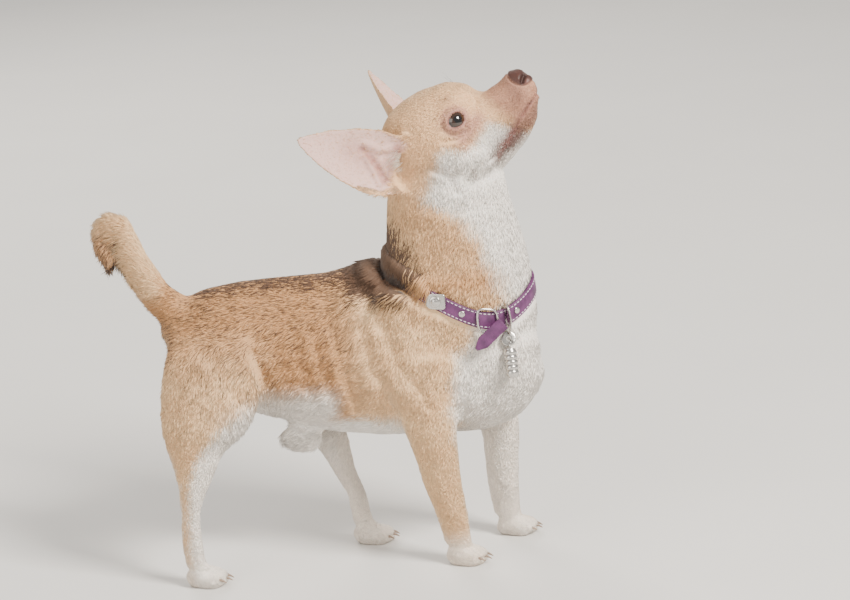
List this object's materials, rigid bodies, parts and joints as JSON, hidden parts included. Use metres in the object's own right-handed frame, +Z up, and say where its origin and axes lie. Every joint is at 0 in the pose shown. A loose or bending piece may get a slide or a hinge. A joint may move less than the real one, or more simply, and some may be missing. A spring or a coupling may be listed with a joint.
{
  "type": "chihuahua",
  "caption": "Life-size smooth-coated chihuahua standing with its head raised and tail up, wearing a leather collar with a hanging tag.",
  "frame": {"origin": "on the floor under the middle of the whole dog", "axes": "+X is forward, the way the dog faces; +Z is up; its right side is towards -Y"},
  "size_m": [0.3072, 0.1394, 0.3391],
  "materials": {
    "coat_fawn": "short fur",
    "coat_pale": "short fur",
    "ear_skin": "bare skin under thin hair",
    "nose_skin": "moist, pebbled",
    "eye": "wet, clear surface",
    "claw_horn": "satin horn",
    "purple_leather": "dyed, stitched",
    "nickel": "nickel plated"
  },
  "bodies": {
    "root": {"abdomen": "coat_fawn", "chest": "coat_fawn", "claw_fore_left_1": "claw_horn", "claw_fore_left_2": "claw_horn", "claw_fore_left_3": "claw_horn", "claw_fore_left_4": "claw_horn", "claw_fore_right_1": "claw_horn", "claw_fore_right_2": "claw_horn", "claw_fore_right_3": "claw_horn", "claw_fore_right_4": "claw_horn", "claw_hind_left_1": "claw_horn", "claw_hind_left_2": "claw_horn", "claw_hind_left_3": "claw_horn", "claw_hind_left_4": "claw_horn", "claw_hind_right_1": "claw_horn", "claw_hind_right_2": "claw_horn", "claw_hind_right_3": "claw_horn", "claw_hind_right_4": "claw_horn", "collar_buckle": "nickel", "collar_eyelet_1": "nickel", "collar_eyelet_2": "nickel", "collar_plate": "nickel", "collar_ring": "nickel", "collar_rivet": "nickel", "collar_strap": "purple_leather", "collar_strap_end": "purple_leather", "ear_left": "ear_skin", "ear_right": "ear_skin", "eye_left": "eye", "eye_right": "eye", "forefoot_left": "coat_pale", "forefoot_right": "coat_pale", "foreleg_left": "coat_pale", "foreleg_right": "coat_pale", "head": "coat_fawn", "hindfoot_left": "coat_pale", "hindfoot_right": "coat_pale", "hindleg_left": "coat_fawn", "hindleg_right": "coat_fawn", "lower_jaw": "coat_pale", "neck": "coat_fawn", "nose": "nose_skin", "pelvis": "coat_fawn", "tag_barrel": "nickel", "tag_ring": "nickel", "tail_middle": "coat_fawn", "tail_root": "coat_fawn", "tail_tip": "coat_fawn", "thigh_left": "coat_fawn", "thigh_right": "coat_fawn"}
  },
  "joints": []
}
